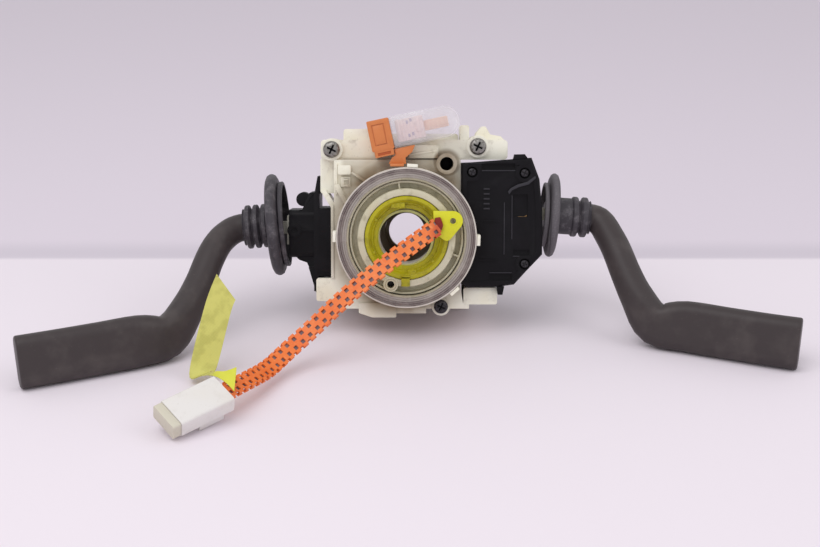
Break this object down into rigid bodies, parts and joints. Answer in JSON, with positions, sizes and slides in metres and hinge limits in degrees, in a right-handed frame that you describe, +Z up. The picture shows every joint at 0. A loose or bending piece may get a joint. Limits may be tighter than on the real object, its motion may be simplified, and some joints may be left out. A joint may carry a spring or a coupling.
{
  "type": "combination stalk switch",
  "caption": "Steering column switch unit with a clock spring ring in the middle, a cranked stalk with a rubber boot on each side, and a perforated harness with a connector.",
  "frame": {"origin": "centre of the bounding box in plan, without the harness, on the surface the unit stands on", "axes": "+X towards the right stalk, +Y away from the driver, +Z up; the column axis leans 15.7 degrees down to the rear"},
  "size_m": [0.489, 0.2343, 0.1507],
  "materials": {
    "white_nylon": "satin, dusty",
    "clear_plastic": "clear, scuffed",
    "ribbon": "satin",
    "yellow_plastic": "satin",
    "natural_plastic": "satin",
    "zinc_steel": "zinc plated",
    "contact_metal": "bright",
    "orange_plastic": "satin",
    "black_case": "satin",
    "board": "matte",
    "detent_plastic": "satin",
    "stalk_plastic": "fine grain, worn",
    "boot_rubber": "dusty",
    "orange_sheath": "satin",
    "cream_plastic": "satin",
    "tag_film": "woven film"
  },
  "bodies": {
    "unit": {"bracket_screws": "zinc_steel", "cap_insert": "orange_plastic", "clear_cap": "clear_plastic", "column_bush": "white_nylon", "cover_screws": "zinc_steel", "flat_cable_coil": "ribbon", "left_case": "black_case", "left_contact_board": "board", "left_detent_plate": "detent_plastic", "left_pivot_stubs": "zinc_steel", "left_terminals": "contact_metal", "orange_lead_arm": "orange_plastic", "orange_plug": "orange_plastic", "plug_terminals": "contact_metal", "right_case": "black_case", "right_contact_board": "board", "right_cover": "black_case", "right_detent_plate": "detent_plastic", "right_pivot_stubs": "zinc_steel", "right_terminals": "contact_metal", "stator_cover": "clear_plastic", "stator_housing": "white_nylon", "stator_screws": "zinc_steel", "switch_bracket": "white_nylon"},
    "rotor": {"rotor_disc": "white_nylon", "rotor_rim": "white_nylon", "rotor_wall": "white_nylon", "rotor_hub": "white_nylon", "drive_boss": "white_nylon", "yellow_ring": "yellow_plastic", "cancel_cam": "natural_plastic", "harness_sheath": "orange_sheath", "airbag_connector": "cream_plastic", "connector_cap": "cream_plastic", "harness_tag": "tag_film"},
    "cancel_pawl_body": {"cancel_pawl": "natural_plastic"},
    "left_yoke_body": {"left_yoke": "detent_plastic", "left_lever_pin": "zinc_steel"},
    "left_lever": {"left_lever_core": "detent_plastic", "left_stalk": "stalk_plastic", "left_boot": "boot_rubber", "left_detent_spring": "zinc_steel"},
    "left_plunger": {"left_detent_plunger": "zinc_steel"},
    "left_slider": {"left_contact_slider": "natural_plastic", "left_slider_contacts": "contact_metal"},
    "right_yoke_body": {"right_yoke": "detent_plastic", "right_lever_pin": "zinc_steel"},
    "right_lever": {"right_lever_core": "detent_plastic", "right_stalk": "stalk_plastic", "right_boot": "boot_rubber", "right_detent_spring": "zinc_steel"},
    "right_plunger": {"right_detent_plunger": "zinc_steel"},
    "right_slider": {"right_contact_slider": "natural_plastic", "right_slider_contacts": "contact_metal"}
  },
  "joints": [
    {"name": "rotor_turn", "type": "hinge", "parent": "unit", "child": "rotor", "pos_m": [-0.00464, 0.01564, 0.06597], "axis": [0, 0.9627, -0.2706], "range_deg": [-900, 900]},
    {"name": "cancel_pawl_travel", "type": "slide", "parent": "unit", "child": "cancel_pawl_body", "axis": [1, 0, 0], "range_m": [-0.002, 0], "stiffness_N_per_m": 600, "springref_m": 0.001},
    {"name": "left_up_down", "type": "hinge", "parent": "unit", "child": "left_yoke_body", "pos_m": [-0.07864, 0.04052, 0.06209], "axis": [0, 0.9627, -0.2706], "range_deg": [-12, 12]},
    {"name": "left_push_pull", "type": "hinge", "parent": "left_yoke_body", "child": "left_lever", "pos_m": [-0.07864, 0.04052, 0.06209], "axis": [0, 0.2706, 0.9627], "range_deg": [-7, 7]},
    {"name": "left_plunger_travel", "type": "slide", "parent": "left_lever", "child": "left_plunger", "axis": [1, 0, 0], "range_m": [-0.0012, 0], "stiffness_N_per_m": 800, "springref_m": 0.001, "deforming": ["left_detent_spring"]},
    {"name": "left_slider_travel", "type": "slide", "parent": "unit", "child": "left_slider", "axis": [0, 0.2706, 0.9627], "range_m": [-0.00616, 0.00616]},
    {"name": "right_up_down", "type": "hinge", "parent": "unit", "child": "right_yoke_body", "pos_m": [0.07536, 0.04322, 0.07172], "axis": [0, 0.9627, -0.2706], "range_deg": [-6, 12]},
    {"name": "right_push_pull", "type": "hinge", "parent": "right_yoke_body", "child": "right_lever", "pos_m": [0.07536, 0.04322, 0.07172], "axis": [0, 0.2706, 0.9627], "range_deg": [-7, 7]},
    {"name": "right_plunger_travel", "type": "slide", "parent": "right_lever", "child": "right_plunger", "axis": [-1, 0, 0], "range_m": [-0.0012, 0], "stiffness_N_per_m": 800, "springref_m": 0.001, "deforming": ["right_detent_spring"]},
    {"name": "right_slider_travel", "type": "slide", "parent": "unit", "child": "right_slider", "axis": [0, 0.2706, 0.9627], "range_m": [-0.00323, 0.00616]}
  ],
  "couplings": [
    {"joint": "left_slider_travel", "follows": "left_up_down", "m_per_rad": -0.028},
    {"joint": "right_slider_travel", "follows": "right_up_down", "m_per_rad": 0.028}
  ]
}
